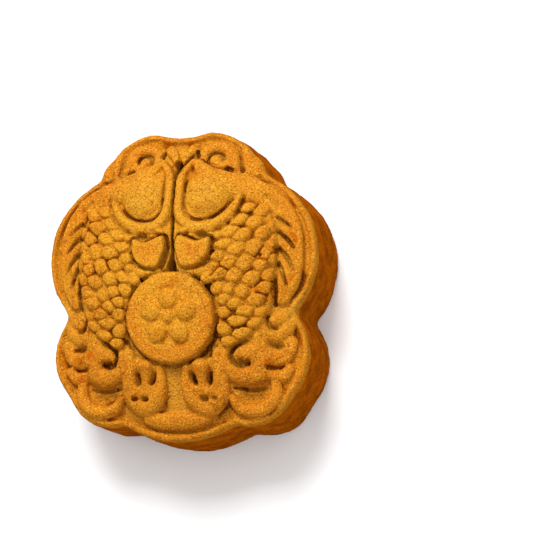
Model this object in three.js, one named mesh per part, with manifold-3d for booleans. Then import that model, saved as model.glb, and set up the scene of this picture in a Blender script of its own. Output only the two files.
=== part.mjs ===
// A mooncake: a lobed cake with a domed top, pressed in a carved mould with two carp round a disc,
// clouds above them and waves below. Millimetres, +Z up, resting on its base at the origin.
import * as THREE from "three";
import { mergeVertices } from "three/addons/utils/BufferGeometryUtils.js";
import Module from "manifold-3d";

const wasm = await Module();
wasm.setup();

// Sizes of the cake
const HALF_LENGTH = 41.17;
const RIM_HEIGHT = 25;
const EDGE_ROUND = 1.8;
const WALL_FLARE = 0.04;
const LIP_WIDTH = 2.7;
const LIP_HEIGHT = 1;
const GROUND_HEIGHT = RIM_HEIGHT - LIP_HEIGHT;
const DOME_RISE = 8;
const DOME_HALF_WIDTH = 33.5;
const DOME_HALF_LENGTH = 38.5;

// Edge of the right half, from the top notch down: lobes between two points, each with its bulge
const LOBES = [
  { from: [2.9, 39.9], to: [14.2, 39.6], bulge: 1.9 },
  { from: [14.2, 39.6], to: [18.9, 35.4], bulge: 0.7 },
  { from: [18.9, 35.4], to: [22.6, 29.3], bulge: 1.1 },
  { from: [22.6, 29.3], to: [30.6, -7.8], bulge: 9.9 },
  { from: [30.6, -7.8], to: [30.2, -29.3], bulge: 4.3 },
  { from: [30.2, -29.3], to: [15.2, -36.5], bulge: 3.5 },
  { from: [15.2, -36.5], to: [0, -HALF_LENGTH], bulge: 1.2 },
];
const EDGE_STEP = 3.6;

// Disc in the middle, with a blossom on it
const DISC = { y: -9.8, radius: 12.2, top: 35 };
const PETALS = 5;
const PETAL_REACH = 5;

// Right-hand carp. Marks along a stroke are x, y, half width, rise above the ground under it
const BODY = [
  [20.5, 18.5, 5.5, 2.6],
  [19.4, 13, 8, 3],
  [19, 7, 8.6, 3.2],
  [18.6, 1, 8.8, 3.2],
  [18.4, -5, 7.4, 3],
  [17.4, -10.5, 5.8, 2.7],
  [15.4, -14.6, 3.4, 2.2],
];
const HEAD = { x: 9.6, y: 24.2, halfWidth: 9.1, halfLength: 10.3, rise: 3.6 };
const CHEEK = { x: 9, y: 23, halfWidth: 6.5, halfLength: 6.7, rise: 5.2 };
const EYE = { x: 9.6, y: 27.4, radius: 1 };
const GILL_BAND = [
  [3.4, 31.4, 1, 3],
  [1.5, 28, 1.25, 3.8],
  [1.35, 22.5, 1.3, 4.2],
  [2.3, 17.8, 1.35, 4.2],
  [6.6, 14.8, 1.4, 4],
  [11.6, 15.6, 1.4, 4],
  [15.4, 19, 1.3, 3.8],
  [18.2, 22.6, 1, 3.2],
];
const BACK_RIDGE = [
  [12.6, 31.2, 1.1, 2],
  [19, 28.1, 1.5, 2.4],
  [25, 24.4, 1.6, 2.3],
  [29.3, 19.4, 1.5, 2.1],
  [32, 13.3, 1.4, 1.9],
  [32.9, 7, 1.3, 1.8],
  [32, 1, 1.3, 1.7],
  [29.8, -4, 1.2, 1.5],
];
const FIN_RAYS = 5;
const FIN_RAY = { top: 20, spacing: 4.4, length: 4.6, halfWidth: 1.15, rise: 1.9 };
const CHEST_FIN = [
  [1, 8],
  [1.5, 11.4],
  [3.2, 12.2],
  [7, 10.4],
  [9.8, 11.5],
  [10.8, 9.6],
  [10.1, 6.2],
  [7.8, 3.8],
  [3.4, 3.3],
];
const CHEST_FIN_RISE = 4.3;
const SCALE = { halfLength: 2.75, halfWidth: 1.8, rise: 1.25, length: 5, rowStep: 3.3, slant: 0.72 };
const SCALE_ROWS = 9;

// Clouds over the heads and waves under the tails, right half
const STROKES = [
  [[9.7, 34.3, 1.2, 2.1], [11.4, 32.9, 0.95, 1.7], [13.2, 34.2, 0.9, 1.6], [12.6, 36.4, 0.95, 1.6],
    [10, 37.2, 1, 1.6], [6.6, 37.3, 1.2, 1.6]],
  [[15, 36.6, 0.9, 1.3], [16, 34.4, 0.9, 1.5], [16.4, 32.2, 0.9, 1.5]],
  [[19, 31.2, 0.9, 1.3], [20.2, 32.2, 1.1, 1.4], [19, 33.5, 0.9, 1.2]],
  [[0.5, 33, 0.8, 1.5], [1.6, 35.3, 1, 1.6], [2.9, 37.2, 1.1, 1.4]],
  [[14, -18.2, 1.3, 2], [13.9, -20.8, 1.5, 2.2], [14.9, -23.8, 1.8, 2.3], [17.2, -25.7, 2, 2.3],
    [20.2, -25.9, 2.2, 2.3], [22.8, -24, 2.2, 2.3], [23.2, -20.9, 2, 2.2], [21.4, -18.7, 1.7, 2.1],
    [19.2, -18.6, 1.5, 2], [17.6, -19.9, 1.2, 1.8]],
  [[23.4, -19, 1.9, 2.1], [23.2, -16.3, 1.7, 2], [22.6, -13.3, 1.2, 1.8], [23.4, -10.6, 0.9, 1.5]],
  [[24, -19.8, 1.8, 2], [27.6, -20.6, 1.9, 1.9], [30.2, -19.6, 1.5, 1.7], [31.6, -16.6, 1.1, 1.4]],
  [[24.2, -10.9, 0.9, 1.6], [24.5, -13, 1.2, 1.8], [26.6, -14.8, 1.4, 1.9], [29.4, -14.6, 1.3, 1.8],
    [31.2, -12.8, 1, 1.4]],
  [[26.8, -10.5, 1.3, 1.8], [28.8, -9.6, 1.7, 1.9], [29.6, -8.6, 1.2, 1.4]],
  [[26.4, -24.8, 1, 1.4], [28.6, -24.2, 1.1, 1.4], [30.2, -22.8, 0.9, 1.2]],
  [[27.4, -27.2, 1.3, 1.6], [26.4, -30.4, 1.6, 1.9], [24, -33.2, 1.9, 2.1], [20.8, -34.3, 2, 2.1],
    [17.8, -33.4, 1.6, 1.9], [16.4, -31, 1, 1.6]],
  [[13, -18.8, 1.2, 1.9], [13.4, -22, 1.3, 2], [13.7, -26.5, 1.6, 2.1], [13, -31, 1.7, 2.1],
    [9.2, -33.9, 1.8, 2.1], [5.2, -31.6, 1.7, 2.1], [3.6, -26.6, 1.4, 2.1], [3.2, -22, 1.1, 1.9]],
  [[4.8, -28.5, 1, 2], [8.4, -28.4, 1.1, 2.1], [12.8, -28.6, 1, 2]],
  [[8, -23, 2.4, 2.7], [8.1, -25.4, 1.3, 2.3], [8.3, -28, 1.2, 2.1]],
  [[9.8, -29.4, 0.9, 1.8], [9.8, -31.4, 0.9, 1.8]],
];
const BOTTOM_ROLL = [[-7.6, -36.8, 1.3, 1.4], [0, -37.3, 1.7, 1.7], [7.6, -36.8, 1.3, 1.4]];

const SECTION_SIDES = 6;
const END_REACH = 0.75;
const CRUST_COLOUR = 0xc67d20;

// Height of the plain domed ground that the picture stands on
function ground(x, y) {
  const fall = (x / DOME_HALF_WIDTH) ** 2 + (y / DOME_HALF_LENGTH) ** 2;
  return GROUND_HEIGHT + DOME_RISE * Math.max(0, 1 - fall);
}

function solidOf(geometry) {
  const bare = geometry.clone();
  bare.deleteAttribute("normal");
  bare.deleteAttribute("uv");
  const joined = mergeVertices(bare, 1e-4);
  const corners = joined.index.array;
  const kept = [];
  for (let i = 0; i < corners.length; i += 3) {
    const [a, b, c] = [corners[i], corners[i + 1], corners[i + 2]];
    if (a !== b && b !== c && c !== a) kept.push(a, b, c);
  }
  const mesh = new wasm.Mesh({
    numProp: 3,
    vertProperties: new Float32Array(joined.attributes.position.array),
    triVerts: new Uint32Array(kept),
  });
  return new wasm.Manifold(mesh);
}

function movePoints(geometry, place) {
  const points = geometry.attributes.position;
  for (let i = 0; i < points.count; i += 1) {
    const [x, y, z] = place(points.getX(i), points.getY(i), points.getZ(i));
    points.setXYZ(i, x, y, z);
  }
  return geometry;
}

// Points of an arc from one end up to the other, standing out to the right of the way it runs
function arcPoints({ from, to, bulge }) {
  const start = new THREE.Vector2(...from);
  const end = new THREE.Vector2(...to);
  const chord = end.clone().sub(start);
  const out = new THREE.Vector2(-chord.y, chord.x).normalize();
  const half = chord.length() / 2;
  const radius = (half ** 2 + bulge ** 2) / (2 * bulge);
  const centre = start.clone().add(end).multiplyScalar(0.5).addScaledVector(out, bulge - radius);
  const sweep = 2 * Math.asin(half / radius);
  const count = Math.max(2, Math.round((sweep * radius) / EDGE_STEP));
  const first = Math.atan2(start.y - centre.y, start.x - centre.x);
  const points = [];
  for (let i = 0; i < count; i += 1) {
    const angle = first - (sweep * i) / count;
    points.push(new THREE.Vector2(centre.x + radius * Math.cos(angle), centre.y + radius * Math.sin(angle)));
  }
  return points;
}

// Whole edge of the cake, anticlockwise from above, with its notches softened
function edgeOutline() {
  const right = [];
  for (const lobe of LOBES) right.push(...arcPoints(lobe));
  const bottom = new THREE.Vector2(...LOBES[LOBES.length - 1].to);
  const left = right.map((p) => new THREE.Vector2(-p.x, p.y)).reverse();
  const points = [...right, bottom, ...left].reverse();
  const count = points.length;
  return points.map((p, i) => {
    const before = points[(i + count - 1) % count];
    const after = points[(i + 1) % count];
    return p.clone().multiplyScalar(2).add(before).add(after).multiplyScalar(0.25);
  });
}

// Edge moved in by the width of the lip
function insetOutline(outline) {
  const count = outline.length;
  return outline.map((p, i) => {
    const run = outline[(i + 1) % count].clone().sub(outline[(i + count - 1) % count]).normalize();
    return new THREE.Vector2(p.x - run.y * LIP_WIDTH, p.y + run.x * LIP_WIDTH);
  });
}

// Cake with rounded edges, its top sunk inside the lip
function cakeSolid() {
  const outline = edgeOutline();
  const block = new THREE.ExtrudeGeometry(new THREE.Shape(outline), {
    depth: RIM_HEIGHT - 2 * EDGE_ROUND,
    steps: 2,
    bevelThickness: EDGE_ROUND,
    bevelSize: EDGE_ROUND,
    bevelOffset: -EDGE_ROUND,
    bevelSegments: 2,
  });
  block.translate(0, 0, EDGE_ROUND);
  movePoints(block, (x, y, z) => {
    const flare = 1 + WALL_FLARE * Math.sqrt(1 - z / RIM_HEIGHT);
    return [x * flare, y * flare, z];
  });
  const sink = new THREE.ExtrudeGeometry(new THREE.Shape(insetOutline(outline)), {
    depth: LIP_HEIGHT + 1,
    bevelEnabled: false,
  });
  sink.translate(0, 0, GROUND_HEIGHT);
  return solidOf(block).subtract(solidOf(sink));
}

function domeSolid() {
  const foot = GROUND_HEIGHT - 3;
  const rings = 5;
  const profile = [new THREE.Vector2(0, foot), new THREE.Vector2(1, foot)];
  for (let i = 0; i <= rings; i += 1) {
    const reach = 1 - i / rings;
    profile.push(new THREE.Vector2(reach, GROUND_HEIGHT - 0.1 + (DOME_RISE + 0.1) * (1 - reach ** 2)));
  }
  const geometry = new THREE.LatheGeometry(profile, 26);
  geometry.rotateX(Math.PI / 2);
  geometry.scale(DOME_HALF_WIDTH, DOME_HALF_LENGTH, 1);
  return solidOf(geometry);
}

// Rounded bar along a line of marks, laid over a surface
function stroke(marks, side, base = ground) {
  const line = new THREE.SplineCurve(marks.map(([x, y]) => new THREE.Vector2(side * x, y)));
  const sizes = new THREE.SplineCurve(marks.map(([, , width, rise]) => new THREE.Vector2(width, rise)));
  const steps = Math.round(1.4 * marks.length - 1.4);
  const geometry = new THREE.CapsuleGeometry(1, 1, 1, SECTION_SIDES, steps);
  movePoints(geometry, (x, y, z) => {
    const share = Math.min(1, Math.max(0, y + 0.5));
    const beyond = (y + 0.5 - share) * END_REACH;
    const point = line.getPoint(share);
    const tangent = line.getTangent(share);
    const size = sizes.getPoint(share);
    const px = point.x + size.x * (tangent.x * beyond + tangent.y * x);
    const py = point.y + size.x * (tangent.y * beyond - tangent.x * x);
    return [px, py, base(px, py) + size.y * z];
  });
  return solidOf(geometry);
}

// Rounded lump, turned in plan and laid over a surface
function lump(x, y, halfWidth, halfLength, rise, turn = 0, base = ground, around = 8, rows = 5) {
  const geometry = new THREE.SphereGeometry(1, around, rows);
  geometry.rotateX(Math.PI / 2);
  geometry.scale(halfWidth, halfLength, rise);
  geometry.rotateZ(turn);
  return solidOf(movePoints(geometry, (px, py, z) => [px + x, py + y, base(px + x, py + y) + z]));
}

// Height of the carp's rounded body over the ground
function bodyRise(x, y) {
  const line = new THREE.SplineCurve(BODY.map(([px, py]) => new THREE.Vector2(px, py)));
  const sizes = new THREE.SplineCurve(BODY.map(([, , width, rise]) => new THREE.Vector2(width, rise)));
  let rise = 0;
  for (let i = 0; i <= 30; i += 1) {
    const point = line.getPoint(i / 30);
    const size = sizes.getPoint(i / 30);
    const away = Math.hypot(x - point.x, y - point.y) / size.x;
    if (away < 1) rise = Math.max(rise, size.y * Math.sqrt(1 - away ** 2));
  }
  return rise;
}

// Scales stand in staggered slanting rows on the body
function scaleSolids(side) {
  const { slant, length, rowStep } = SCALE;
  const solids = [];
  for (let row = -SCALE_ROWS; row <= SCALE_ROWS; row += 1) {
    const shift = row % 2 ? 0.5 : 0;
    for (let place = -SCALE_ROWS; place <= SCALE_ROWS; place += 1) {
      const along = (place + shift) * length;
      const across = row * rowStep;
      const x = 18 + along * Math.cos(slant) - across * Math.sin(slant);
      const y = 3 + along * Math.sin(slant) + across * Math.cos(slant);
      const rise = bodyRise(x, y);
      const underHead = Math.hypot((x - HEAD.x) / 9.4, (y - HEAD.y) / 10.6) < 1;
      const underFin = x < 11.4 && y > 2.6;
      const underDisc = Math.hypot(x, y - DISC.y) < DISC.radius + 0.6;
      if (rise < 1.3 || underHead || underFin || underDisc) continue;
      const base = (px, py) => ground(px, py) + rise;
      solids.push(lump(side * x, y, SCALE.halfLength, SCALE.halfWidth, SCALE.rise, side * slant, base, 6, 3));
    }
  }
  return solids;
}

function finRaySolids(side) {
  const solids = [];
  for (let i = 0; i < FIN_RAYS; i += 1) {
    const y = FIN_RAY.top - FIN_RAY.spacing * i;
    const x = 28 - 0.0085 * (y - 8) ** 2;
    const angle = -0.7 - 0.14 * i;
    const end = [x + FIN_RAY.length * Math.cos(angle), y + FIN_RAY.length * Math.sin(angle)];
    const middle = [(x + end[0]) / 2, (y + end[1]) / 2];
    const size = [FIN_RAY.halfWidth, FIN_RAY.rise];
    solids.push(stroke([[x, y, ...size], [...middle, ...size], [...end, 0.9, 1.5]], side));
  }
  return solids;
}

function chestFinSolid(side) {
  const loop = new THREE.CatmullRomCurve3(
    CHEST_FIN.map(([x, y]) => new THREE.Vector3(side * x, y, 0)),
    true,
  );
  const corners = loop.getPoints(16).slice(0, -1);
  const outline = corners.map((p) => new THREE.Vector2(p.x, p.y));
  const geometry = new THREE.ExtrudeGeometry(new THREE.Shape(outline), {
    depth: CHEST_FIN_RISE - 1.2,
    bevelThickness: 1.2,
    bevelSize: 1.1,
    bevelOffset: -1.1,
    bevelSegments: 2,
  });
  return solidOf(movePoints(geometry, (x, y, z) => [x, y, ground(x, y) + z]));
}

function carpSolids(side) {
  const head = lump(side * HEAD.x, HEAD.y, HEAD.halfWidth, HEAD.halfLength, HEAD.rise, 0, ground, 14, 8);
  const cheek = lump(side * CHEEK.x, CHEEK.y, CHEEK.halfWidth, CHEEK.halfLength, CHEEK.rise, 0, ground, 14, 8);
  const eyeBase = (x, y) => ground(x, y) + CHEEK.rise * 0.72;
  const eye = lump(side * EYE.x, EYE.y, EYE.radius, EYE.radius, EYE.radius, 0, eyeBase, 6, 4);
  return [
    stroke(BODY, side),
    head,
    cheek,
    eye,
    stroke(GILL_BAND, side),
    stroke(BACK_RIDGE, side),
    chestFinSolid(side),
    ...finRaySolids(side),
    ...scaleSolids(side),
  ];
}

function discSolid() {
  const { radius, top } = DISC;
  const profile = [
    [0, RIM_HEIGHT],
    [radius, RIM_HEIGHT],
    [radius, top - 1.8],
    [radius - 0.5, top - 0.8],
    [radius - 1.6, top - 0.2],
    [radius - 4, top],
    [0, top + 0.2],
  ];
  const geometry = new THREE.LatheGeometry(profile.map(([r, z]) => new THREE.Vector2(r, z)), 30);
  geometry.rotateX(Math.PI / 2);
  geometry.translate(0, DISC.y, 0);
  return solidOf(geometry);
}

function blossomSolids() {
  const face = () => DISC.top;
  const solids = [lump(0, DISC.y, 1.7, 1.7, 1.5, 0, face, 8, 5)];
  for (let i = 0; i < PETALS; i += 1) {
    const angle = Math.PI / 2 + (2 * Math.PI * i) / PETALS;
    const x = PETAL_REACH * Math.cos(angle);
    const y = DISC.y + PETAL_REACH * Math.sin(angle);
    solids.push(lump(x, y, 2.9, 2.6, 1.2, angle, face, 10, 5));
  }
  return solids;
}

const pieces = [cakeSolid(), domeSolid(), discSolid(), ...blossomSolids()];
pieces.push(stroke(BOTTOM_ROLL, 1));
for (const side of [1, -1]) {
  pieces.push(...carpSolids(side));
  for (const marks of STROKES) pieces.push(stroke(marks, side));
}
const whole = pieces.reduce((sum, next) => sum.add(next));

const result = whole.getMesh();
const geometry = new THREE.BufferGeometry();
geometry.setAttribute("position", new THREE.BufferAttribute(new Float32Array(result.vertProperties), 3));
geometry.setIndex(new THREE.BufferAttribute(new Uint32Array(result.triVerts), 1));
geometry.computeVertexNormals();

const crust = new THREE.MeshStandardMaterial({ color: CRUST_COLOUR, roughness: 0.75, metalness: 0 });
const mooncake = new THREE.Mesh(geometry, crust);
mooncake.name = "mooncake";

const part = new THREE.Group();
part.name = "part";
part.add(mooncake);

export default part;
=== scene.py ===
"""A baked mooncake with twin carp pressed into its domed top.

Sizes are in millimetres until they meet Blender.
"""
import math
import random

import bpy
import numpy as np
from mathutils import Matrix, Vector


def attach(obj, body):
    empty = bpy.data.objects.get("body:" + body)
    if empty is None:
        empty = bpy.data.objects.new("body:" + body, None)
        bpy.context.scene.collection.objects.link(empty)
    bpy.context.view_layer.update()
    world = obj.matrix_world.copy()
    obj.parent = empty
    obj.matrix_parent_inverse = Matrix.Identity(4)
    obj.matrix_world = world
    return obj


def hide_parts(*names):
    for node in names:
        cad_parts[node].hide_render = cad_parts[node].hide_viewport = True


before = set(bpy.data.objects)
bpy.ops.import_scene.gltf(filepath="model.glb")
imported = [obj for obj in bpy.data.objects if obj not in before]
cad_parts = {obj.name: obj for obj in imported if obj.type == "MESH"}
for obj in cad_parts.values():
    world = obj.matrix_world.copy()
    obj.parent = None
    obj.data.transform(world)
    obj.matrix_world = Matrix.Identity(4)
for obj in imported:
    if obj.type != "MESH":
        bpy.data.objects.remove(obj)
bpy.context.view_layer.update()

MM = 0.001
random.seed(11)

# Cake
HALF_LENGTH = 41.17
RIM_HEIGHT = 25.0
EDGE_ROUND = 0.8
FOOT_ROUND = 1.0
WALL_FLARE = 0.04
LIP_WIDTH = 0.9
LIP_HEIGHT = 1.0
GROUND_HEIGHT = RIM_HEIGHT - LIP_HEIGHT
DOME_RISE = 8.0
DOME_HALF_WIDTH = 33.5
DOME_HALF_LENGTH = 38.5
EDGE_STEP = 1.0
WALL_LEVELS = (0.0, 0.15, 0.4, 1.0, 3.0, 6.0, 11.0, 17.0, 22.0, 23.8, 24.25, 24.6, 24.85, RIM_HEIGHT)

# Lobes of the right half's edge, from the top notch down: one end, the other end, bulge
LOBES = (
    ((2.9, 39.9), (14.2, 39.6), 1.9),
    ((14.2, 39.6), (18.9, 35.4), 0.7),
    ((18.9, 35.4), (22.6, 29.3), 1.1),
    ((22.6, 29.3), (30.6, -7.8), 9.9),
    ((30.6, -7.8), (30.2, -29.3), 4.3),
    ((30.2, -29.3), (15.2, -36.5), 3.5),
    ((15.2, -36.5), (0.0, -HALF_LENGTH), 1.2),
)

# Disc and its blossom
DISC_Y = -9.8
DISC_RADIUS = 12.0
DISC_RISE = 4.0
DISC_GROOVE = 0.6
DISC_BEVEL = 2.6
DISC_PILLOW = ((2, 0.35), (3, 0.25), (3, 0.1))
PETALS = 5
PETAL_REACH = 5.0
PETAL_SIZE = (2.9, 2.6, 1.6)
BLOSSOM_HEART = (1.7, 1.7, 1.5)

# Right-hand carp. A mark on a stroke is x, y, half width, rise above the ground
BODY = (
    (22, 20, 5.6, 2.8), (21, 15.5, 7, 3.1), (19.3, 9, 8.5, 3.3), (18.6, 2, 9.1, 3.4),
    (18.7, -4.5, 8.0, 3.2), (17.6, -10.3, 6.8, 3.1), (16.3, -13.4, 4.6, 2.9),
)
BELLY = ((8, 27, 6.6, 3.4), (7, 20, 7.2, 3.4), (6.4, 12, 6.8, 3.1), (6.2, 5.5, 6.2, 2.5))
HEAD_TOP = (
    (5.4, 32.3, 1.6, 3.6), (6.9, 30.4, 2.4, 4.2), (9.6, 28.2, 3.2, 4.7), (13.5, 26.5, 3.8, 4.7),
    (18, 24.7, 3.7, 4.0), (22.5, 23, 3.3, 3.2),
)
# Cheek: x, y, half width, half length, rise. Eye and pebbles: x, y, radius
CHEEK = (8.8, 23.6, 7.1, 8.1, 5.4)
EYE = (9.8, 27.8, 0.9)
GILL_BAND = (
    (4.6, 33.2, 0.9, 3.4), (2.7, 30.6, 1.3, 3.9), (1.5, 27.5, 1.5, 4.2), (1.4, 22, 1.6, 4.4), (2.1, 17.4, 1.8, 4.4),
    (5.2, 14.4, 1.9, 4.3), (10.2, 14.5, 1.9, 4.3), (14.4, 17.2, 1.8, 4.3), (16.5, 20.2, 1.5, 4.2),
    (17.9, 22.8, 0.8, 3.8),
)
FIN = (
    (20, 26.6, 1.6, 2.7), (24.6, 23.8, 2.4, 2.8), (28.0, 19.4, 2.9, 2.8), (29.8, 13.5, 3.3, 2.7),
    (30.2, 7.5, 3.3, 2.6), (29.8, 2, 3, 2.5), (29, -2, 2.4, 2.2), (28.1, -5.4, 1.3, 1.8),
)
BACK_RIDGE = (
    (17, 28.6, 0.8, 2.7), (20.5, 27.2, 1, 2.9), (25.2, 24.7, 1.1, 3), (29.2, 20.8, 1.1, 2.9),
    (31.8, 15.5, 1.2, 2.8), (32.8, 9.5, 1.2, 2.6), (32.7, 4, 1.2, 2.5), (31.5, -1, 1.1, 2.3), (29.4, -5, 0.9, 1.8),
)
CHEST_FIN = (
    (1.2, 8), (1.5, 10.6), (2.2, 11.9), (4, 11.5), (6.9, 10.3), (8.6, 10.9), (10.2, 11.4), (10.9, 9.8), (10.2, 6.4),
    (8.2, 4.1), (5.6, 3.1), (3, 3.6),
)
CHEST_FIN_RISE = 4.8
CHEST_FIN_ROUNDING = ((0.2, 0.4), (0.3, 0.25), (0.4, 0.15))
CHEST_FIN_MIDDLE = (5.8, 7.4)
CHEST_FIN_OUTLINE = tuple(
    tuple(middle + (value - middle) * 1.06 for value, middle in zip(point, CHEST_FIN_MIDDLE)) for point in CHEST_FIN
)
PEBBLE_BASE = 2.7
PEBBLE_RISE = 1.3
PEBBLES = (
    (10.2, 0.4, 1.8), (8.2, 2.2, 1.4), (5.6, 2.0, 1.4), (3.4, 2.4, 1.1), (11.4, 3.6, 1.4), (12.0, 6.2, 1.3),
    (12.4, 9.0, 1.3), (3.2, 12.9, 1.2), (5.8, 12.6, 1.2), (10.4, 12.7, 1.2), (12.6, 12.0, 1.4), (14.2, 14.2, 1.1),
)

# Scales: x, y, half length, half width, slant in degrees
SCALES = (
    (11.2, 3.2, 2.3, 1.6, 42), (12.7, 6.1, 2.2, 1.6, 40), (14.3, 9.4, 2.5, 1.5, 22), (15.6, 4.6, 2.6, 1.8, 42),
    (17.4, 8.1, 2.6, 1.9, 40), (15.9, 12.9, 2.5, 1.7, 25), (18.7, 11.9, 2.8, 1.8, 28), (17.6, 16.1, 2.7, 1.8, 32),
    (21.9, 15.4, 2.6, 2.0, 40), (19.7, 19.4, 2.3, 1.5, 20), (23.3, 18.7, 2.3, 1.7, 40), (21.8, 8.8, 2.7, 1.9, 55),
    (23.8, 12.6, 2.5, 1.8, 50), (26.3, 14.6, 2.0, 1.4, 60), (24.9, 7.1, 2.4, 1.7, 55), (26.5, 10.4, 2.0, 1.3, 70),
    (19.6, 4.3, 2.7, 1.9, 50), (23.6, 3.9, 2.3, 1.7, 45), (26.4, 5.6, 1.9, 1.2, 75), (13.4, 1.4, 2.3, 1.7, 42),
    (17.0, 0.9, 2.6, 1.9, 42), (21.6, 0.4, 2.7, 1.8, 36), (25.2, 1.2, 2.0, 1.5, 60), (12.7, -2.1, 2.1, 1.6, 45),
    (15.9, -2.6, 2.2, 1.8, 42), (18.9, -3.2, 2.2, 1.8, 42), (24.5, -1.9, 2.2, 1.6, 55), (14.7, -5.2, 2.1, 1.6, 40),
    (22.4, -5.4, 2.6, 1.6, 30), (17.0, -6.4, 2.2, 1.6, 15), (14.4, -8.6, 1.8, 1.7, 30), (19.9, -8.3, 2.7, 1.5, 15),
    (23.3, -8.6, 1.6, 1.4, 40), (17.7, -10.8, 2.7, 1.5, 10), (22.0, -11.2, 2.4, 1.3, 35), (14.4, -13.0, 1.9, 2.0, 30),
    (18.7, -14.0, 2.9, 1.4, 20), (15.4, -16.0, 2.2, 1.5, 0),
)
SCALE_RISE = 1.35
SCALE_FULLNESS = 3.2
SCALE_GAP = 0.75
SCALE_GAP_SHARE = 0.2
SCALE_CORNERS = 2.4
SCALE_REACH = 1.3
SCALE_FADE = 0.2

# Clouds over the heads and waves under the tails, right half
STROKES = (
    ((6.0, 35.2, 2.6, 1.1), (9.5, 34.6, 3.6, 1.3), (14, 33.2, 4.0, 1.3), (18.4, 31.6, 3.4, 1.1)),
    ((9.6, 33.7, 1.6, 2.5), (11, 32.4, 1.4, 2.2), (13, 31.7, 1.0, 1.9)),
    ((6.2, 35.6, 1.2, 1.8), (7.4, 37, 1.4, 2), (10.2, 37.6, 1.5, 2), (13, 36.5, 1.7, 2.1),
     (14.5, 34.2, 1.6, 2.1), (15.3, 31.4, 1.3, 2)),
    ((18.9, 30.4, 1.2, 1.7), (18.6, 33.2, 1.6, 1.8), (17.6, 36, 1.2, 1.5)),
    ((20.2, 31.4, 1.6, 1.8), (21, 29.6, 1.2, 1.6)),
    ((0.9, 33, 0.9, 2.2), (1.8, 35.3, 1.3, 2), (3.3, 37.3, 1.4, 1.6)),
    ((14.2, -18.2, 1.0, 2.4), (14.1, -20.6, 1.4, 2.7), (15.3, -23.6, 2.0, 2.9), (18.8, -25.2, 2.5, 3),
     (22.2, -24.1, 2.8, 3.1), (23.0, -21.2, 2.9, 3.1), (21.2, -18.9, 2.3, 3), (18.6, -19.2, 2.0, 2.8)),
    ((18.4, -19.1, 2.3, 2.9), (18.6, -19.8, 2.2, 2.8)),
    ((15.6, -19.5, 1.5, 2.4), (16.6, -22.2, 1.6, 2.4), (18.5, -22.6, 1.5, 2.4)),
    ((23.4, -19, 2.4, 2.8), (23.0, -16, 2.1, 2.6), (23.2, -13.3, 1.7, 2.4), (23.9, -11, 1.2, 2.1)),
    ((24, -19.6, 2.5, 2.8), (26.8, -20.3, 2.5, 2.7), (29.4, -18.9, 2.3, 2.4), (30.8, -15.8, 1.9, 2)),
    ((24.3, -11.5, 1.4, 2.3), (24.9, -13.6, 1.9, 2.5), (27, -14.5, 2, 2.5), (29.3, -13.2, 2, 2.4),
     (30.7, -11, 1.5, 1.9)),
    ((26.6, -10.8, 1.6, 2.5), (28.4, -9.6, 2, 2.3), (29.2, -8.2, 1.5, 1.8)),
    ((13.6, -17.6, 1.8, 1.5), (17, -17.2, 2.2, 1.6), (21, -15.6, 2.0, 1.5)),
    ((25, -16.8, 1.6, 1.3), (28.6, -16.6, 1.6, 1.1)),
    ((25.4, -24, 1.9, 2.3), (28.2, -24.8, 1.8, 2.2), (30.2, -22.8, 1.5, 1.9)),
    ((26.6, -26.4, 1.4, 2.1), (26.6, -29.9, 1.8, 2.7), (24.4, -32.8, 2.0, 3.1), (20.6, -33.7, 2.0, 3.2),
     (17.1, -32.8, 1.8, 3.0), (15.6, -30.4, 1.2, 2.4)),
    ((12, -18.6, 1.4, 2.2), (12.0, -21.8, 1.7, 2.6), (12.5, -26, 2.1, 2.8), (12.4, -30.2, 2.2, 2.9),
     (9.1, -33.2, 2.3, 2.9), (5.2, -31.4, 2.2, 2.9), (3.6, -27, 1.8, 2.7), (3.7, -22.3, 1.4, 2.3)),
    ((4.6, -28.8, 1.8, 2.4), (8, -29, 2.4, 2.5), (12.2, -28.9, 1.8, 2.4)),
    ((7.5, -22.3, 2.7, 3.6), (7.5, -23.0, 2.5, 3.4), (7.6, -25.4, 1.5, 2.7), (7.7, -28, 1.6, 2.5)),
    ((4.4, -21.8, 2.0, 1.5), (11.4, -21.8, 2.0, 1.5)),
    ((4.4, -27.8, 1.2, 2.3), (11.4, -27.8, 1.2, 2.3)),
)
BOTTOM_ROLL = (
    (-8.4, -36, 1.3, 1.7), (-4.5, -36.3, 2.2, 2.2), (0, -36.4, 2.4, 2.4), (4.5, -36.3, 2.2, 2.2),
    (8.4, -36, 1.3, 1.7),
)

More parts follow.
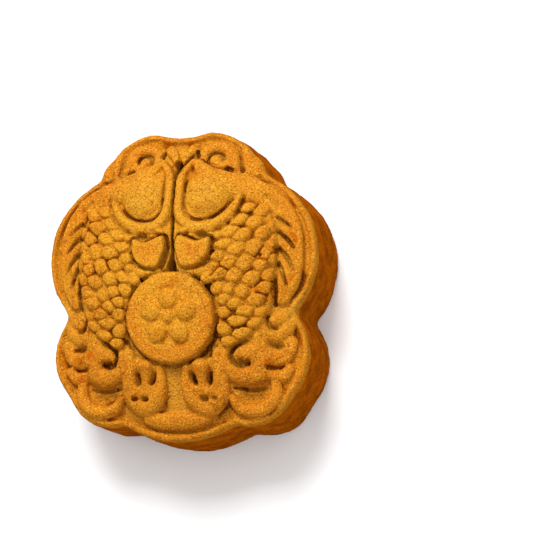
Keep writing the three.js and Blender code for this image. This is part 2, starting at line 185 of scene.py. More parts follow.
# Lines pressed in by the mould, right half. A mark is x, y, half width, depth
GROOVES = (
    ((0, 32.6, 0.9, 2.6), (0, 30, 0.8, 3.2), (0, 27, 0.38, 2.2), (0, 16, 0.38, 2.2), (0, 10, 0.36, 2.0),
     (0, 6, 0.6, 2.4), (0, 3.5, 1.2, 2.4)),
    ((24.3, 23.1, 0.5, 0.6), (27.6, 20.4, 0.5, 0.4)),
    ((27.2, 17, 0.55, 1.3), (29.4, 15.6, 0.5, 1.2), (31, 14.2, 0.35, 0.5)),
    ((27.7, 13, 0.6, 1.6), (29.8, 11.2, 0.55, 1.5), (31.5, 8.9, 0.4, 0.6)),
    ((27.9, 8.5, 0.6, 1.6), (29.9, 6.2, 0.55, 1.5), (31.4, 3.2, 0.4, 0.6)),
    ((27.6, 4.6, 0.55, 1.5), (28.8, 2, 0.5, 1.4), (29.8, -1, 0.4, 0.6)),
    ((27, -0.4, 0.4, 1.2), (27.2, -3, 0.45, 1.3), (26.8, -6.2, 0.5, 1.2)),
    ((25.6, 18.6, 0.35, 0.4), (26.8, 15, 0.4, 0.7), (27.3, 10, 0.4, 0.8), (27.4, 5, 0.4, 0.8), (27, -0.4, 0.4, 0.9)),
    ((3.2, 29.6, 0.35, 0.3), (2.95, 26, 0.4, 0.8), (2.95, 21, 0.42, 0.9), (3.6, 18.2, 0.42, 0.9),
     (5.8, 16.4, 0.42, 0.9), (8.6, 16.3, 0.42, 0.9), (11.4, 17.2, 0.42, 0.9), (13.5, 19.0, 0.4, 0.7), (14.8, 21.2, 0.35, 0.3)),
    ((3.5, 12.5, 0.4, 0.5), (10, 12.4, 0.4, 0.5), (14.8, 14.8, 0.5, 0.8), (17.4, 18.2, 0.45, 0.7),
     (18.7, 22.6, 0.5, 0.8)),
    ((19.6, -15.7, 0.5, 0.9), (17.3, -16.9, 0.5, 1.4), (15.9, -18.4, 0.55, 1.8), (15.65, -20.1, 0.55, 1.8),
     (16.5, -21.6, 0.6, 1.8), (18.0, -22.2, 0.65, 1.8), (19.2, -21.6, 0.6, 1.6), (19.6, -21.0, 0.5, 1.2)),
    ((24.9, -9.2, 0.5, 0.8), (24.9, -10.9, 0.5, 1.0), (25.7, -12.2, 0.55, 1.2), (27.2, -12.5, 0.45, 0.8)),
    ((25.3, -16.6, 0.5, 0.8), (26.9, -17.0, 0.7, 1.2), (28.6, -17.2, 0.5, 0.8)),
    ((24.9, -22.6, 0.6, 0.9), (26.5, -22.7, 0.45, 0.6), (29, -22.2, 0.35, 0.4)),
    ((4.9, -24.3, 0.45, 1.2), (5.3, -25.4, 0.5, 1.5), (6.1, -26.6, 0.55, 1.6)),
    ((10.2, -24.2, 0.4, 1.0), (9.7, -25.4, 0.5, 1.4), (9.8, -26.9, 0.5, 1.5)),
    ((7.8, -30.6, 0.65, 1.3), (8.5, -30.6, 0.65, 1.3)),
    ((10.8, -30.6, 0.65, 1.3), (11.2, -30.6, 0.65, 1.3)),
    ((15.8, -27.7, 0.4, 0.8), (20, -28.3, 0.45, 1.2), (24, -27.7, 0.4, 0.8)),
    ((7.9, 33.2, 0.45, 1.0), (8.1, 34.8, 0.5, 1.2), (9.6, 35.7, 0.5, 1.2), (11.3, 35.2, 0.5, 1.2),
     (12, 34, 0.5, 1.1), (11.6, 33.3, 0.4, 0.6)),
    ((13.2, 31.1, 0.6, 1.2), (14.2, 30.6, 0.55, 1.1)),
    ((4.6, 36.3, 0.5, 1.0), (4.9, 35.0, 0.6, 1.4)),
    ((7.6, 12, 0.8, 1.3), (8.8, 11.9, 0.8, 1.3)),
    ((0, -39.2, 0.4, 0.5), (5, -38.9, 0.4, 0.5), (9.4, -37.6, 0.4, 0.5), (14.4, -35.5, 0.35, 0.3)),
    tuple((x, y, 0.5, 0.9) for x, y in CHEST_FIN_OUTLINE + CHEST_FIN_OUTLINE[:1]),
    ((16.2, 36, 0.4, 0.5), (16.6, 33, 0.45, 0.8), (17.2, 30.5, 0.6, 1.0)),
)

# Pits between the scales, in the curls and in the corner pockets: x, y, radius, depth
PITS = (
    (20.6, 17.9, 0.7, 0.7), (16.7, 9.8, 0.6, 0.8), (23.4, 6.6, 0.7, 0.9), (14.4, 7.0, 0.6, 0.8), (12.0, 8.3, 0.7, 0.9),
    (21.6, 2.9, 0.8, 1.0), (20.0, -6.2, 0.7, 0.7), (17.1, -8.3, 0.7, 0.7), (14.4, -10.6, 0.7, 0.7),
    (21.0, -10.5, 0.6, 0.6), (18.0, -12.6, 0.6, 0.6), (17.3, -4.1, 0.6, 0.7), (18.0, -21.4, 1.2, 2.2),
    (18.2, -29.8, 1.3, 0.45), (20.2, -30.3, 1.4, 0.45), (22.3, -30.0, 1.4, 0.45),
)

FULLNESS = 2.6
GROOVE_SPREAD = 1.3
VOXEL = 0.29
MOST_TRIANGLES = 190000
DOME_ROOT = 12.0

# Unevenness of the crust: name, size, detail, height
UNEVENNESS = (("swells", 7.0, 1, 0.45), ("lumps", 2.2, 2, 0.3), ("crumbs", 0.8, 1, 0.16))
RELIEF_CELL = 0.25
RELIEF_MARGIN = 8.0

# Camera, as the photograph was taken
VIEW_AZIMUTH = 55.0
VIEW_ELEVATION = 73.5
VIEW_ROLL = 0.5
VIEW_DISTANCE = 460.0
FRAME_PIXELS = 533.0
FOCAL_PIXELS = 1720.0
AIM_PIXEL = (180.0, 285.5)
SENSOR = 36.0


def deselect_all():
    bpy.ops.object.select_all(action="DESELECT")


def dome_rise(x, y):
    return DOME_RISE * np.maximum(0.0, 1.0 - (x / DOME_HALF_WIDTH) ** 2 - (y / DOME_HALF_LENGTH) ** 2)


def points_of(obj):
    """An object's mesh points in millimetres."""
    flat = np.empty(len(obj.data.vertices) * 3)
    obj.data.vertices.foreach_get("co", flat)
    return flat.reshape(-1, 3) / MM


def set_points(obj, points):
    obj.data.vertices.foreach_set("co", (points * MM).ravel())
    obj.data.update()


def apply_modifier(obj, kind, **settings):
    deselect_all()
    obj.select_set(True)
    bpy.context.view_layer.objects.active = obj
    bpy.ops.object.modifier_add(type=kind)
    modifier = obj.modifiers[-1]
    for name, value in settings.items():
        setattr(modifier, name, value)
    bpy.ops.object.modifier_apply(modifier=modifier.name)


def apply_place(obj):
    deselect_all()
    obj.select_set(True)
    bpy.context.view_layer.objects.active = obj
    bpy.ops.object.transform_apply(location=True, rotation=True, scale=True)


def spline(marks, share):
    """Point on a smooth line through the marks, all their columns at once."""
    marks = np.asarray(marks, dtype=float)
    last = len(marks) - 1
    place = min(max(share, 0.0), 1.0) * last
    i = min(int(place), last - 1)
    t = place - i
    before, start, end, after = (marks[min(max(i + k, 0), last)] for k in (-1, 0, 1, 2))
    pull_in = (end - before) * 0.5
    pull_out = (after - start) * 0.5
    return (
        (2 * start - 2 * end + pull_in + pull_out) * t**3
        + (-3 * start + 3 * end - 2 * pull_in - pull_out) * t**2
        + pull_in * t
        + start
    )


def lobe_points(start, end, bulge):
    start, end = Vector(start), Vector(end)
    chord = end - start
    half = chord.length / 2
    out = Vector((-chord.y, chord.x)).normalized()
    radius = (half**2 + bulge**2) / (2 * bulge)
    centre = (start + end) / 2 + out * (bulge - radius)
    sweep = 2 * math.asin(half / radius)
    count = max(2, round(sweep * radius / EDGE_STEP))
    first = math.atan2(start.y - centre.y, start.x - centre.x)
    angles = [first - sweep * i / count for i in range(count)]
    return [(centre.x + radius * math.cos(a), centre.y + radius * math.sin(a)) for a in angles]


def cake_edge():
    """Edge of the cake, anticlockwise from above, its notches softened."""
    right = [p for lobe in LOBES for p in lobe_points(*lobe)]
    left = [(-x, y) for x, y in reversed(right)]
    edge = np.array((right + [LOBES[-1][1]] + left)[::-1])
    for _ in range(4):
        edge = (2 * edge + np.roll(edge, 1, 0) + np.roll(edge, -1, 0)) / 4
    return edge


def wall_spread(height):
    """How wide the wall stands at a height, as a share of the drawn edge, its foot and rim rounded."""
    share = 1 + WALL_FLARE * math.sqrt(1 - height / RIM_HEIGHT)
    for into, radius in ((height - RIM_HEIGHT + EDGE_ROUND, EDGE_ROUND), (FOOT_ROUND - height, FOOT_ROUND)):
        if into > 0:
            share -= (radius - math.sqrt(max(0.0, radius**2 - into**2))) / HALF_LENGTH
    return share


def cake_block():
    """The plain cake: its edge drawn from a circle, raised through the wall's levels, and sunk inside the lip."""
    edge = cake_edge()
    deselect_all()
    bpy.ops.mesh.primitive_circle_add(vertices=len(edge), radius=HALF_LENGTH * MM, fill_type="NGON")
    cake = bpy.context.active_object
    set_points(cake, np.column_stack([edge, np.zeros(len(edge))]))
    bpy.ops.object.mode_set(mode="EDIT")
    bpy.ops.mesh.select_mode(type="FACE")
    bpy.ops.mesh.select_all(action="SELECT")
    flare = [wall_spread(height) for height in WALL_LEVELS]
    bpy.ops.transform.resize(value=(flare[0], flare[0], 1), center_override=(0, 0, 0))
    for i in range(1, len(WALL_LEVELS)):
        step = (WALL_LEVELS[i] - WALL_LEVELS[i - 1]) * MM
        bpy.ops.mesh.extrude_region_move(TRANSFORM_OT_translate={"value": (0, 0, step)})
        ratio = flare[i] / flare[i - 1]
        bpy.ops.transform.resize(value=(ratio, ratio, 1), center_override=(0, 0, 0))
    bpy.ops.mesh.inset(thickness=LIP_WIDTH * MM, depth=-LIP_HEIGHT * MM)
    bpy.ops.mesh.select_all(action="SELECT")
    bpy.ops.mesh.normals_make_consistent(inside=False)
    bpy.ops.object.mode_set(mode="OBJECT")
    return cake


def stroke(marks, side):
    """A rounded bar of dough along the marks, lying on the flat ground."""
    marks = np.array(marks, dtype=float)
    marks[:, 0] *= side
    count = 8 * (len(marks) - 1)
    line = [spline(marks, i / count) for i in range(count + 1)]
    for at, inner in ((0, 1), (-1, -2)):
        tip, inside = line[at], line[inner]
        way = (tip[:2] - inside[:2]) / max(1e-6, np.linalg.norm(tip[:2] - inside[:2]))
        cap = []
        for turn in (0.35, 0.7, 1.05, 1.35, 1.5):
            point = tip.copy()
            point[:2] += way * tip[2] * 0.85 * math.sin(turn)
            point[2:] *= math.cos(turn)
            cap.append(point)
        line = cap[::-1] + line if at == 0 else line + cap
    deselect_all()
    bpy.ops.object.add(type="CURVE")
    bar = bpy.context.active_object
    bar.data.dimensions = "3D"
    bar.data.bevel_depth = MM
    bar.data.bevel_resolution = 4
    bar.data.use_fill_caps = True
    path = bar.data.splines.new("POLY")
    path.points.add(len(line) - 1)
    for point, mark in zip(path.points, line):
        point.co = (mark[0] * MM, mark[1] * MM, 0, 1)
        point.radius = mark[2]
    bpy.ops.object.convert(target="MESH")
    bar = bpy.context.active_object
    points = points_of(bar)
    line = np.array(line)
    nearest = np.argmin(np.hypot(*(points[:, None, i] - line[None, :, i] for i in (0, 1))), axis=1)
    aside = np.hypot(*(points[:, i] - line[nearest, i] for i in (0, 1))) / np.maximum(line[nearest, 2], 1e-6)
    full = (1 - np.clip(aside, 0, 1) ** FULLNESS) ** (1 / FULLNESS)
    points[:, 2] = np.sign(points[:, 2]) * full * line[nearest, 3] + GROUND_HEIGHT
    set_points(bar, points)
    return bar


def lump(x, y, half_width, half_length, rise, turn=0.0, base=0.0):
    """A rounded lump of dough, standing on the ground or on something `base` above it."""
    deselect_all()
    bpy.ops.mesh.primitive_uv_sphere_add(segments=28, ring_count=16, radius=MM)
    ball = bpy.context.active_object
    ball.scale = (half_width, half_length, rise)
    ball.rotation_euler = (0, 0, turn)
    ball.location = (x * MM, y * MM, (GROUND_HEIGHT + base) * MM)
    apply_place(ball)
    return ball


def body_rise(x, y):
    """How high the carp's body stands over the ground at a place."""
    rise = 0.0
    for i in range(41):
        px, py, width, height = spline(BODY, i / 40)
        away = math.hypot(x - px, y - py) / width
        if away < 1:
            rise = max(rise, height * math.sqrt(1 - away**2))
    return rise


def scales(side):
    """Scales over the body, each a copy of one rounded scale."""
    model = lump(0, 0, 1, 1, 1)
    points = points_of(model)
    points[:, 2] -= GROUND_HEIGHT
    out = np.hypot(points[:, 0], points[:, 1])
    points[:, 2] = np.sign(points[:, 2]) * (1 - np.clip(out, 0, 1) ** SCALE_FULLNESS) ** (1 / SCALE_FULLNESS)
    points[:, 1] *= 1 - 0.18 * points[:, 0]
    set_points(model, points)
    made = []
    for x, y, half_length, half_width, slant in SCALES:
        scale = model.copy()
        scale.data = model.data.copy()
        bpy.context.scene.collection.objects.link(scale)
        rise = SCALE_RISE * random.uniform(0.85, 1.15)
        slant = math.radians(slant + random.uniform(-5, 5))
        scale.scale = (half_length, half_width, rise)
        scale.rotation_euler = (0, -0.12, slant if side > 0 else math.pi - slant)
        height = GROUND_HEIGHT + 0.96 * body_rise(x, y)
        scale.location = (side * x * MM, y * MM, height * MM)
        apply_place(scale)
        made.append(scale)
    bpy.data.objects.remove(model)
    return made


def chest_fin(side):
    """Tulip-shaped fin, drawn from a circle, raised and rounded over."""
    loop = np.array(CHEST_FIN[-1:] + CHEST_FIN + CHEST_FIN[:2], dtype=float)
    count = 6 * len(CHEST_FIN)
    spans = len(loop) - 1
    edge = np.array([spline(loop, (1 + i / 6) / spans) for i in range(count)])
    edge[:, 0] *= side
    if side > 0:
        edge = edge[::-1]
    deselect_all()
    bpy.ops.mesh.primitive_circle_add(vertices=count, radius=MM, fill_type="NGON")
    fin = bpy.context.active_object
    set_points(fin, np.column_stack([edge, np.full(count, GROUND_HEIGHT)]))
    bpy.ops.object.mode_set(mode="EDIT")
    bpy.ops.mesh.select_mode(type="FACE")
    bpy.ops.mesh.select_all(action="SELECT")
    height = CHEST_FIN_RISE - sum(step for _, step in CHEST_FIN_ROUNDING)
    bpy.ops.mesh.extrude_region_move(TRANSFORM_OT_translate={"value": (0, 0, height * MM)})
    for thickness, height in CHEST_FIN_ROUNDING:
        bpy.ops.mesh.inset(thickness=thickness * MM, depth=height * MM)
    bpy.ops.mesh.select_all(action="SELECT")
    bpy.ops.mesh.normals_make_consistent(inside=False)
    bpy.ops.object.mode_set(mode="OBJECT")
    return fin


def disc():
    """The disc between the tails: a cylinder with a rounded edge and a slightly full top."""
    deselect_all()
    place = (0, DISC_Y * MM, (GROUND_HEIGHT + DISC_RISE / 2 - 1) * MM)
    bpy.ops.mesh.primitive_cylinder_add(
        vertices=96, radius=DISC_RADIUS * MM, depth=(DISC_RISE + 2) * MM, location=place
    )
    plate = bpy.context.active_object
    apply_place(plate)
    bpy.ops.object.mode_set(mode="EDIT")
    bpy.ops.mesh.select_mode(type="FACE")
    bpy.ops.mesh.select_all(action="DESELECT")
    bpy.ops.object.mode_set(mode="OBJECT")
    for face in plate.data.polygons:
        face.select = face.normal.z > 0.9
    bpy.ops.object.mode_set(mode="EDIT")
    bpy.ops.mesh.bevel(offset=DISC_BEVEL * MM, segments=8)
    for thickness, height in DISC_PILLOW:
        bpy.ops.mesh.inset(thickness=thickness * MM, depth=height * MM)
    bpy.ops.object.mode_set(mode="OBJECT")
    return plate


def blossom():
    made = [lump(0, DISC_Y, *BLOSSOM_HEART, base=DISC_RISE)]
    for i in range(PETALS):
        angle = math.pi / 2 + 2 * math.pi * i / PETALS
        x = PETAL_REACH * math.cos(angle)
        y = DISC_Y + PETAL_REACH * math.sin(angle)
        made.append(lump(x, y, *PETAL_SIZE, turn=angle, base=DISC_RISE))
    return made


def carp(side):
    made = [stroke(marks, side) for marks in (BODY, BELLY, FIN, BACK_RIDGE, HEAD_TOP, GILL_BAND)]
    x, y, half_width, half_length, rise = CHEEK
    made.append(lump(side * x, y, half_width, half_length, rise))
    x, y, radius = EYE
    made.append(lump(side * x, y, radius, radius, radius, base=rise * 0.8))
    made.append(chest_fin(side))
    for x, y, radius in PEBBLES:
        made.append(
            lump(side * x, y, radius * 1.15, radius * 0.85, PEBBLE_RISE, turn=side * 0.5, base=PEBBLE_BASE)
        )
    return made + scales(side)


def join(parts, name):
    deselect_all()
    for part in parts:
        part.select_set(True)
    bpy.context.view_layer.objects.active = parts[0]
    bpy.ops.object.join()
    whole = bpy.context.active_object
    whole.name = whole.data.name = name
    return whole


def scale_gaps(points, side):
    """1 on the lines where two scales meet, 0 elsewhere."""
    first = np.full(len(points), 9.0)
    second = first.copy()
    for x, y, half_length, half_width, slant in SCALES:
        along_x, along_y = side * math.cos(math.radians(slant)), math.sin(math.radians(slant))
        dx, dy = points[:, 0] - side * x, points[:, 1] - y
        along = np.abs(dx * along_x + dy * along_y) / half_length
        across = np.abs(dy * along_x - dx * along_y) / half_width
        away = (along**SCALE_CORNERS + across**SCALE_CORNERS) ** (1 / SCALE_CORNERS)
        second = np.minimum(second, np.maximum(first, away))
        first = np.minimum(first, away)
    fade = np.clip((SCALE_REACH - first) / SCALE_FADE, 0, 1)
    return np.exp(-(((second - first) / SCALE_GAP_SHARE) ** 2)) * fade


def groove_depth(points):
    """How deep the mould's lines and pits lie under each point of the flat picture."""
    ring = (np.hypot(points[:, 0], points[:, 1] - DISC_Y) - DISC_RADIUS - 0.3) / DISC_GROOVE
    depth = np.clip(1 - ring**2, 0, 1)
    for side in (1, -1):
        depth = np.maximum(depth, SCALE_GAP * scale_gaps(points, side))
        for marks in GROOVES:
            count = 40 * (len(marks) - 1)
            line = np.array([spline(marks, i / count) for i in range(count + 1)])
            line[:, 0] *= side
            line[:, 2:] *= GROOVE_SPREAD
            near = np.flatnonzero(
                np.all(points[:, :2] > line[:, :2].min(axis=0) - 2, axis=1)
                & np.all(points[:, :2] < line[:, :2].max(axis=0) + 2, axis=1)
            )
            away = np.hypot(*(points[near, None, i] - line[None, :, i] for i in (0, 1)))
            pressed = np.clip(1 - (away / line[None, :, 2]) ** 2, 0, 1) * line[None, :, 3]
            depth[near] = np.maximum(depth[near], pressed.max(axis=1))
        for x, y, radius, deep in PITS:
            away = np.hypot(points[:, 0] - side * x, points[:, 1] - y) / radius
            depth = np.maximum(depth, np.clip(1 - away**2, 0, 1) * deep)
    return depth * (points[:, 2] > GROUND_HEIGHT - 3)


def press_grooves(obj):
    points = points_of(obj)
    points[:, 2] -= groove_depth(points)
    set_points(obj, points)


def lay_over_dome(obj):
    """Lifts the flat picture, and what is under it, over the dome."""
    points = points_of(obj)
    share = np.clip((points[:, 2] - DOME_ROOT) / (GROUND_HEIGHT - DOME_ROOT), 0, 1)
    points[:, 2] += dome_rise(points[:, 0], points[:, 1]) * share**2 * (3 - 2 * share)
    set_points(obj, points)


def lumps_texture(name, size, depth):
    texture = bpy.data.textures.new(name, type="CLOUDS")
    texture.noise_scale = size * MM
    texture.noise_depth = depth
    return texture


def blurred(grid, radius):
    """Grid blurred by a bell of that radius in cells."""
    rows = np.fft.fftfreq(grid.shape[0])[:, None]
    columns = np.fft.fftfreq(grid.shape[1])[None, :]
    bell = np.exp(-2 * (math.pi * radius) ** 2 * (rows**2 + columns**2))
    return np.real(np.fft.ifft2(np.fft.fft2(grid) * bell))


def mark_relief(obj):
    """Stores on each point, for the crust's colours, how sandy and how browned it is, how far it is wall, how deep it
    lies in a hollow or pressed line (for painted shade) and how far it stands up as a ridge (for painted highlight).
    """
    points = points_of(obj)
    low = points.min(axis=0)[:2] - RELIEF_MARGIN
    shape = tuple(np.ceil((points.max(axis=0)[:2] + RELIEF_MARGIN - low) / RELIEF_CELL).astype(int))
    i, j = ((points[:, :2] - low) / RELIEF_CELL).astype(int).T
    grid = np.zeros(shape)
    np.maximum.at(grid, (i, j), points[:, 2])
    filled = (grid > 0).astype(float)

    def stands(radius):
        """Height of each point over the ground around it, averaged over that radius."""
        cells = radius / RELIEF_CELL
        around = blurred(grid, cells) / np.maximum(blurred(filled, cells), 0.02)
        return (points[:, 2] - around[i, j]) * (1 - np.clip((RIM_HEIGHT - 1.5 - top) / 2.0, 0, 1))

    top = points[:, 2]
    wall = np.clip((RIM_HEIGHT + 0.1 - top) / 4.0, 0, 1) ** 0.6
    pressed = np.clip(groove_depth(points) / 1.4, 0, 1)
    fine, near, wide = stands(0.55), stands(1.0), stands(3.0)
    ground = GROUND_HEIGHT + dome_rise(points[:, 0], points[:, 1])
    beside = np.abs(points[:, 0])
    edge = np.clip((np.hypot(points[:, 0] / 36, points[:, 1] / 40) - 0.35) / 0.5, 0, 1)
    cheek = np.exp(-((beside - CHEEK[0]) ** 2 + (points[:, 1] - CHEEK[1] + 2) ** 2) / 40)
    out = np.hypot(points[:, 0], points[:, 1] - DISC_Y)
    disc_edge = np.exp(-(((out - DISC_RADIUS + 1) / 2) ** 2)) * (points[:, 1] < DISC_Y + 4)
    plate = 0.3 * (out < DISC_RADIUS) + disc_edge
    tulip = 0.8 * np.exp(-((beside - CHEST_FIN_MIDDLE[0]) ** 2 + (points[:, 1] - CHEST_FIN_MIDDLE[1]) ** 2) / 16)
    rim = np.clip((np.hypot(points[:, 0] / 36.5, points[:, 1] / 41) - 0.88) / 0.08, 0, 1)
    waves = 0.55 * np.clip((-points[:, 1] - 15) / 8, 0, 1)
    nape = np.exp(-((beside - 13) ** 2 + (points[:, 1] - 29) ** 2) / 30)
    # How far each point lies below the crust around it, at three widths: this darkens grooves and hollows as painted
    # shade.
    sunk = sum(
        share * np.clip(-height / depth, 0, 1)
        for height, depth, share in ((fine, 0.45, 0.45), (near, 0.9, 0.35), (wide, 2.0, 0.3))
    )
    browned = edge * (0.3 + 0.45 * np.clip((top - ground) / 2.5, 0, 1))
    values = {
        "sandy": 0.6 * np.clip((1.7 - (top - ground)) / 1.4, 0, 1) * (1 - 0.8 * rim) + 0.5 * cheek,
        # Painted shade: grooves, hollows and the mould's pressed lines, darkened where shade falls
        "groove_painted_shade": sunk + pressed * 0.5,
        # Painted highlight: how far a point stands up as a ridge, where the crust is made paler
        "crest_painted_highlight": 0.6 * np.clip(fine / 0.25, 0, 1) + 0.4 * np.clip(near / 0.8, 0, 1),
        "baked": np.clip(browned + 0.1 * nape + plate + tulip + 0.6 * rim + waves - 0.5 * cheek, 0, 1),
        "wall": wall,
    }
    for name, value in values.items():
        attribute = obj.data.attributes.new(name, "FLOAT", "POINT")
        attribute.data.foreach_set("value", value.astype(np.float32))


def mooncake():
    parts = [cake_block(), disc(), stroke(BOTTOM_ROLL, 1)] + blossom()
    for side in (1, -1):
        parts += carp(side)
        parts += [stroke(marks, side) for marks in STROKES]
    cake = join(parts, "mooncake_crust")
    apply_place(cake)
    apply_modifier(cake, "REMESH", mode="VOXEL", voxel_size=VOXEL * MM)
    press_grooves(cake)
    apply_modifier(cake, "SMOOTH", factor=0.5, iterations=1)
    lay_over_dome(cake)
    for name, size, depth, strength in UNEVENNESS:
        apply_modifier(
            cake, "DISPLACE", texture=lumps_texture(name, size, depth), texture_coords="LOCAL",
            strength=strength * MM, mid_level=0.5,
        )
    triangles = sum(len(face.vertices) - 2 for face in cake.data.polygons)
    apply_modifier(cake, "DECIMATE", ratio=min(1.0, MOST_TRIANGLES / triangles))
    points = points_of(cake)
    points[:, 2] = np.maximum(points[:, 2], 0)
    set_points(cake, points)
    mark_relief(cake)
    deselect_all()
    cake.select_set(True)
    bpy.context.view_layer.objects.active = cake
    bpy.ops.object.shade_smooth()
    return cake


def crust_material():
    material = bpy.data.materials.new("baked_crust")
    material.use_nodes = True
    nodes, links = material.node_tree.nodes, material.node_tree.links
    nodes.clear()
    out = nodes.new("ShaderNodeOutputMaterial")
    shader = nodes.new("ShaderNodeBsdfPrincipled")
    links.new(shader.outputs["BSDF"], out.inputs["Surface"])
    place = nodes.new("ShaderNodeTexCoord").outputs["Object"]

    def noise(scale, detail, roughness=0.55):
        node = nodes.new("ShaderNodeTexNoise")
        node.inputs["Scale"].default_value = scale
        node.inputs["Detail"].default_value = detail
        node.inputs["Roughness"].default_value = roughness
        links.new(place, node.inputs["Vector"])
        return node.outputs["Fac"]

    def stored(name):
        node = nodes.new("ShaderNodeAttribute")
        node.attribute_name = name
        return node.outputs["Fac"]

    def spread(value, low, high, to_low=0.0, to_high=1.0):
        node = nodes.new("ShaderNodeMapRange")
        for socket, number in zip(("From Min", "From Max", "To Min", "To Max"), (low, high, to_low, to_high)):
            node.inputs[socket].default_value = number
        links.new(value, node.inputs["Value"])
        return node.outputs["Result"]

    def combine(operation, a, b):
        node = nodes.new("ShaderNodeMath")
        node.operation = operation
        for socket, value in zip(node.inputs, (a, b)):
            if isinstance(value, (int, float)):
                socket.default_value = value
            else:
                links.new(value, socket)
        return node.outputs["Value"]

    def blend(kind, share, a, b):
        node = nodes.new("ShaderNodeMix")
        node.data_type = "RGBA"
        node.blend_type = kind
        for socket, value in ((node.inputs["Factor"], share), (node.inputs[6], a), (node.inputs[7], b)):
            if isinstance(value, (int, float)):
                socket.default_value = value
            elif isinstance(value, tuple):
                socket.default_value = (*value, 1)
            else:
                links.new(value, socket)
        return node.outputs[2]

    grain = noise(2400, 2)
    specks = noise(1900, 1)
    patches = noise(75, 3)
    # Fine cracks: borders of wandering cells
    cells = nodes.new("ShaderNodeTexVoronoi")
    cells.feature = "DISTANCE_TO_EDGE"
    cells.inputs["Scale"].default_value = 260
    wander = nodes.new("ShaderNodeVectorMath")
    wander.operation = "MULTIPLY_ADD"
    bends = nodes.new("ShaderNodeTexNoise")
    bends.inputs["Scale"].default_value = 500
    links.new(place, bends.inputs["Vector"])
    links.new(bends.outputs["Color"], wander.inputs[0])
    wander.inputs[1].default_value = (0.004, 0.004, 0.004)
    links.new(place, wander.inputs[2])
    links.new(wander.outputs["Vector"], cells.inputs["Vector"])
    cracks = spread(cells.outputs["Distance"], 0.0, 0.05, 1.0, 0.0)

    gold = (0.56, 0.212, 0.009)
    amber = (0.51, 0.112, 0.002)
    # Dark grain and cracks of the crust, and also the painted shade in grooves and hollows
    grain_and_shade_brown = (0.13, 0.03, 0.002)
    # Sides: their own toasted colour, made darker still as painted shade
    toasted_side_and_shade = (0.42, 0.094, 0.001)
    sand = (0.52, 0.228, 0.02)
    # Painted highlight on ridge tops and the painted glinting specks
    painted_highlight = (0.80, 0.42, 0.035)
    scorched = (0.23, 0.048, 0.001)
    browned = combine("ADD", stored("baked"), spread(patches, 0.3, 0.7, -0.3, 0.3))
    colour = blend("MIX", browned, gold, amber)
    colour = blend("MIX", stored("sandy"), colour, sand)
    side = blend("MIX", spread(noise(260, 4), 0.4, 0.62), toasted_side_and_shade, scorched)
    # Sides darkened: partly their toasted crust, partly painted shade
    colour = blend("MIX", spread(stored("wall"), 0.0, 0.9, 0.0, 0.95), colour, side)
    # Painted shade in grooves and hollows
    colour = blend("MIX", spread(stored("groove_painted_shade"), 0.04, 0.5, 0.0, 0.95), colour, grain_and_shade_brown)
    # Painted highlight along ridge tops
    colour = blend("MIX", spread(stored("crest_painted_highlight"), 0.45, 1.0, 0.0, 0.25), colour, painted_highlight)
    # Painted glinting specks: paler dots, strongest on ridge tops, none on the sides
    off_wall = spread(stored("wall"), 0.0, 1.0, 1.0, 0.2)
    painted_glints = combine("MULTIPLY", spread(specks, 0.55, 0.72, 0.0, 0.85), off_wall)
    painted_glints = combine("MULTIPLY", painted_glints, spread(stored("crest_painted_highlight"), 0.35, 0.9, 0.4, 1.0))
    colour = blend("MIX", painted_glints, colour, painted_highlight)
    colour = blend("MIX", spread(grain, 0.5, 0.3, 0.0, 0.75), colour, grain_and_shade_brown)
    colour = blend("MIX", combine("MULTIPLY", cracks, spread(patches, 0.45, 0.6, 0.0, 0.6)), colour, grain_and_shade_brown)
    links.new(colour, shader.inputs["Base Color"])
    links.new(spread(grain, 0.3, 0.7, 0.42, 0.62), shader.inputs["Roughness"])
    shader.inputs["Specular IOR Level"].default_value = 0.0
    links.new(spread(stored("wall"), 0.0, 0.5, 0.08, 0.0), shader.inputs["Coat Weight"])
    shader.inputs["Coat Roughness"].default_value = 0.3
    shader.inputs["Coat IOR"].default_value = 1.4
    shader.inputs["Coat Tint"].default_value = (1.0, 0.9, 0.7, 1)

    height = combine("ADD", combine("MULTIPLY", grain, 0.6), combine("MULTIPLY", specks, 0.5))
    bump = nodes.new("ShaderNodeBump")
    bump.inputs["Strength"].default_value = 1.0
    bump.inputs["Distance"].default_value = 0.42 * MM
    links.new(height, bump.inputs["Height"])
    links.new(bump.outputs["Normal"], shader.inputs["Normal"])
    links.new(bump.outputs["Normal"], shader.inputs["Coat Normal"])
    return material


def plain_material(name, colour, roughness):
    material = bpy.data.materials.new(name)
    material.use_nodes = True
    shader = material.node_tree.nodes["Principled BSDF"]
    shader.inputs["Base Color"].default_value = (*colour, 1)
    shader.inputs["Roughness"].default_value = roughness
    return material


def pale_floor():
    deselect_all()
    bpy.ops.mesh.primitive_plane_add(size=4, location=(0, 0, 0))
    floor = bpy.context.active_object
    floor.name = "floor"
    floor.data.materials.append(plain_material("pale_floor", (0.93, 0.93, 0.93), 0.9))


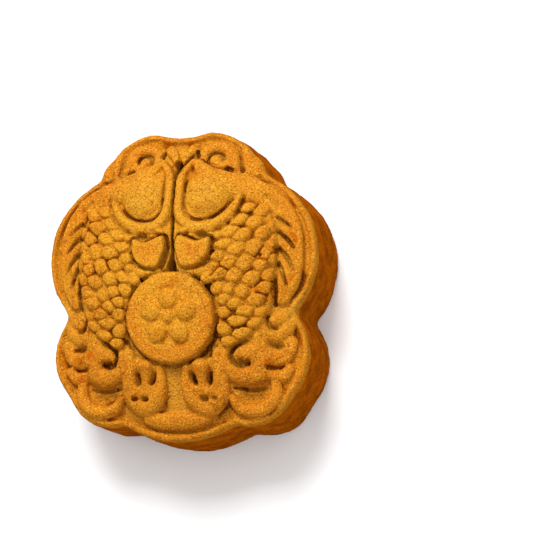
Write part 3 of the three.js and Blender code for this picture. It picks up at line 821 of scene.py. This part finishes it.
def soft_light(name, place, power, size):
    deselect_all()
    bpy.ops.object.light_add(type="AREA", location=place)
    light = bpy.context.active_object
    light.name = name
    light.data.energy = power
    light.data.size = size
    light.rotation_euler = (-Vector(place)).to_track_quat("-Z", "Y").to_euler()


def photo_camera():
    azimuth, elevation, roll = (math.radians(a) for a in (VIEW_AZIMUTH, VIEW_ELEVATION, VIEW_ROLL))
    toward = Vector((
        math.sin(azimuth) * math.cos(elevation), -math.cos(azimuth) * math.cos(elevation), math.sin(elevation)
    ))
    right = (-toward).cross(Vector((0, 1, 0))).normalized()
    up = right.cross(-toward)
    right, up = right * math.cos(roll) + up * math.sin(roll), up * math.cos(roll) - right * math.sin(roll)
    across = (AIM_PIXEL[0] - FRAME_PIXELS / 2) / FOCAL_PIXELS * VIEW_DISTANCE
    down = (AIM_PIXEL[1] - FRAME_PIXELS / 2) / FOCAL_PIXELS * VIEW_DISTANCE
    place = Vector((0, 0, RIM_HEIGHT)) + toward * VIEW_DISTANCE - right * across + up * down
    bpy.ops.object.camera_add()
    camera = bpy.context.active_object
    turn = Matrix((right, up, toward)).transposed().to_4x4()
    camera.matrix_world = Matrix.Translation(place * MM) @ turn
    camera.data.sensor_width = SENSOR
    camera.data.lens = FOCAL_PIXELS / FRAME_PIXELS * SENSOR
    camera.data.clip_start = 0.01
    bpy.context.scene.camera = camera


def studio():
    pale_floor()
    soft_light("key", (-0.05, 0.42, 0.58), 4.7, 0.28)
    soft_light("overhead", (0.0, 0.1, 0.9), 2.8, 0.9)
    soft_light("fill", (0.4, -0.3, 0.7), 1.0, 0.6)
    world = bpy.data.worlds.new("studio")
    bpy.context.scene.world = world
    world.use_nodes = True
    world.node_tree.nodes["Background"].inputs["Color"].default_value = (1, 1, 1, 1)
    world.node_tree.nodes["Background"].inputs["Strength"].default_value = 0.41
    bpy.context.scene.view_settings.view_transform = "Standard"


cake = mooncake()
cake.data.materials.clear()
cake.data.materials.append(crust_material())
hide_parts("mooncake")
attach(cake, "root")
photo_camera()
studio()
